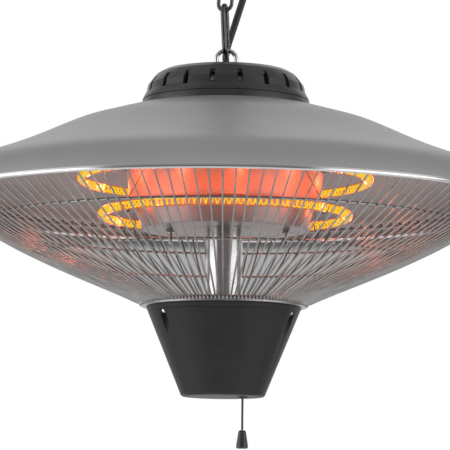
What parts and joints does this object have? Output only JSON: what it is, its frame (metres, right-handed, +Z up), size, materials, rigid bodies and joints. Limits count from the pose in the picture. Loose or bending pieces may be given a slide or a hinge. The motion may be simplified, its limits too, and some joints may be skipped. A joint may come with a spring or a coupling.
{
  "type": "hanging patio heater",
  "caption": "Hanging electric patio heater: wide shade over ring lamps round a reflector drum, wire guard, lower cup with pull switch, hung by hook and chain from a ceiling plate.",
  "frame": {"origin": "middle of the ceiling plate's top face", "axes": "+Z up out of the plate's top face, -Y to the front, +X to the right seen from the front; the heater hangs in -Z"},
  "size_m": [0.5994, 0.5994, 0.5655],
  "materials": {
    "zinc_steel": "zinc plated, satin",
    "bright_steel": "polished",
    "shade_paint": "glossy grey metallic",
    "black_plastic": "fine matte",
    "cord_rubber": "smooth",
    "reflector": "satin",
    "guard_wire": "bright plated",
    "lamp_glass": "clear quartz, glowing",
    "filament": "glowing",
    "ceramic": "unglazed",
    "brass": "satin"
  },
  "bodies": {
    "ceiling": {"ceiling_plate": "zinc_steel", "ceiling_eye": "zinc_steel", "cord_coil": "cord_rubber", "coil_tie": "black_plastic", "cord_plug": "black_plastic"},
    "upper_link": {"chain_link_upper": "zinc_steel", "cord_stretch_4": "cord_rubber"},
    "lower_link": {"chain_link_lower": "zinc_steel", "cord_stretch_3": "cord_rubber"},
    "hook": {"snap_hook": "zinc_steel", "gate_pin": "zinc_steel", "cord_stretch_2": "cord_rubber"},
    "gate": {"hook_gate": "zinc_steel"},
    "heater": {"eye_nut": "zinc_steel", "hub_plate": "zinc_steel", "floor_stud_left": "zinc_steel", "floor_stud_right": "zinc_steel", "clip_front_left": "zinc_steel", "clip_front_right": "zinc_steel", "clip_rear_left": "zinc_steel", "clip_rear_right": "zinc_steel", "eye_bolt": "bright_steel", "pole": "bright_steel", "cup_screw_1": "bright_steel", "cup_screw_2": "bright_steel", "cup_screw_3": "bright_steel", "shade": "shade_paint", "cap": "black_plastic", "cap_base": "black_plastic", "cord_gland": "black_plastic", "cup": "black_plastic", "cord_bushing": "black_plastic", "switch_box": "black_plastic", "cord_stretch_1": "cord_rubber", "inner_lead": "cord_rubber", "upper_drum": "reflector", "lower_drum": "reflector", "drum_floor": "reflector", "guard_wires_1": "guard_wire", "guard_wires_2": "guard_wire", "guard_wires_3": "guard_wire", "guard_wires_4": "guard_wire", "guard_wires_5": "guard_wire", "guard_wires_6": "guard_wire", "guard_wires_7": "guard_wire", "guard_rim_ring": "guard_wire", "guard_ring_upper": "guard_wire", "guard_ring_lower": "guard_wire", "guard_base": "guard_wire", "lamp_upper": "lamp_glass", "lamp_lower": "lamp_glass", "filament_upper": "filament", "filament_lower": "filament", "lamp_base_upper": "ceramic", "lamp_base_lower": "ceramic", "terminal_block": "ceramic"},
    "pull": {"pull_cord": "cord_rubber", "pull_knob": "black_plastic"},
    "lever": {"switch_lever": "brass"}
  },
  "joints": [
    {"name": "upper_link_swing", "type": "hinge", "parent": "ceiling", "child": "upper_link", "pos_m": [0, 0, -0.063], "axis": [1, 0, 0], "range_deg": [-20, 20], "deforming": ["cord_stretch_4"]},
    {"name": "lower_link_swing", "type": "hinge", "parent": "upper_link", "child": "lower_link", "pos_m": [0, 0, -0.0941], "axis": [0, 1, 0], "range_deg": [-20, 20], "deforming": ["cord_stretch_3"]},
    {"name": "hook_swing", "type": "hinge", "parent": "lower_link", "child": "hook", "pos_m": [0, 0, -0.1258], "axis": [1, 0, 0], "range_deg": [-20, 20], "deforming": ["cord_stretch_2"]},
    {"name": "heater_swing", "type": "hinge", "parent": "hook", "child": "heater", "pos_m": [0, 0, -0.1714], "axis": [0.2079, 0.9781, 0], "range_deg": [-20, 20], "deforming": ["cord_stretch_1"]},
    {"name": "gate_open", "type": "hinge", "parent": "hook", "child": "gate", "pos_m": [0.00187, 0.0088, -0.1592], "axis": [0.9781, -0.2079, 0], "range_deg": [0, 25], "stiffness_Nm_per_rad": 0.05, "springref_deg": -11.46},
    {"name": "pull_down", "type": "slide", "parent": "heater", "child": "pull", "axis": [0, 0, -1], "range_m": [0, 0.008], "stiffness_N_per_m": 300, "springref_m": -0.002},
    {"name": "lever_turn", "type": "hinge", "parent": "heater", "child": "lever", "pos_m": [0.0035, 0, -0.4607], "axis": [0, 1, 0], "range_deg": [0, 30]}
  ],
  "couplings": [
    {"joint": "lever_turn", "follows": "pull_down", "rad_per_m": 62.5}
  ]
}
